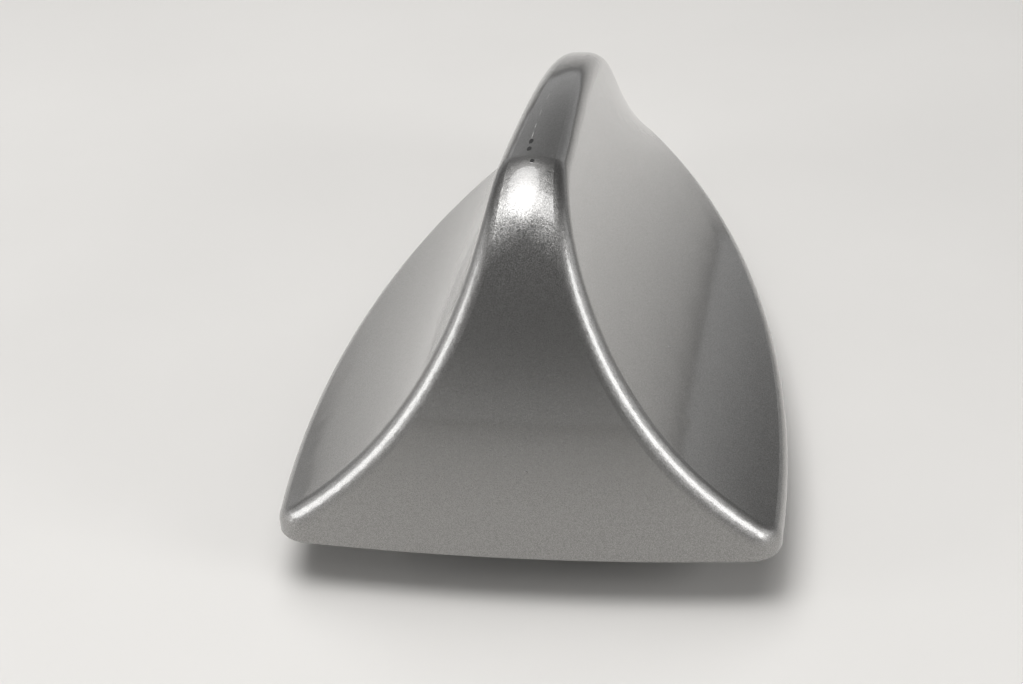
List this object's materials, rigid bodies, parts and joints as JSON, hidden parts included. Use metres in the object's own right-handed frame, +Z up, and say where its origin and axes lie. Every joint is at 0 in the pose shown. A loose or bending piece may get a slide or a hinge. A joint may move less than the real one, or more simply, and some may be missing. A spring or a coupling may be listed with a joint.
{
  "type": "shark fin aerial",
  "caption": "Fin-shaped car roof aerial: painted hollow cover with a rounded crest on a cast base with a roof foot, gasket, circuit board and coaxial sockets.",
  "frame": {"origin": "where the axis of the fixing thread meets the roof skin, on the plane of the gasket's underside", "axes": "+Y in the direction of travel, towards the nose; +Z up, away from the roof; +X to the right"},
  "size_m": [0.0752, 0.1368, 0.0591],
  "materials": {
    "cover_paint": "gloss metallic lacquer",
    "seal_rubber": "matte",
    "gasket_rubber": "matte",
    "die_cast": "cast",
    "insert_brass": "turned",
    "spring_steel": "satin",
    "vent_fabric": "matte",
    "board_laminate": "satin",
    "tinned_steel": "satin",
    "patch_ceramic": "matte",
    "patch_metal": "satin",
    "contact_brass": "satin",
    "holder_plastic": "satin",
    "pad_foam": "foam",
    "socket_blue": "satin",
    "socket_plum": "satin",
    "socket_white": "satin",
    "screw_steel": "zinc plated"
  },
  "bodies": {
    "root": {"anti_rattle_pad": "pad_foam", "base_plate": "die_cast", "blade_holder": "holder_plastic", "board_screw_1": "screw_steel", "board_screw_2": "screw_steel", "board_screw_3": "screw_steel", "board_screw_4": "screw_steel", "board_screw_5": "screw_steel", "cover_screw_1": "screw_steel", "cover_screw_2": "screw_steel", "cover_screw_3": "screw_steel", "cover_screw_4": "screw_steel", "cover_screw_5": "screw_steel", "cover_seal": "seal_rubber", "earth_frame": "spring_steel", "fixing_insert": "insert_brass", "gps_electrode": "patch_metal", "gps_feed_pin": "contact_brass", "gps_patch": "patch_ceramic", "gps_socket_housing": "socket_blue", "gps_socket_insulator": "socket_white", "gps_socket_pin": "contact_brass", "gps_socket_shell": "contact_brass", "main_board": "board_laminate", "outer_cover": "cover_paint", "phone_blade": "contact_brass", "phone_socket_housing": "socket_plum", "phone_socket_insulator": "socket_white", "phone_socket_pin": "contact_brass", "phone_socket_shell": "contact_brass", "roof_gasket": "gasket_rubber", "shield_can": "tinned_steel", "snap_clip_front": "spring_steel", "snap_clip_rear": "spring_steel", "vent_membrane": "vent_fabric"}
  },
  "joints": []
}
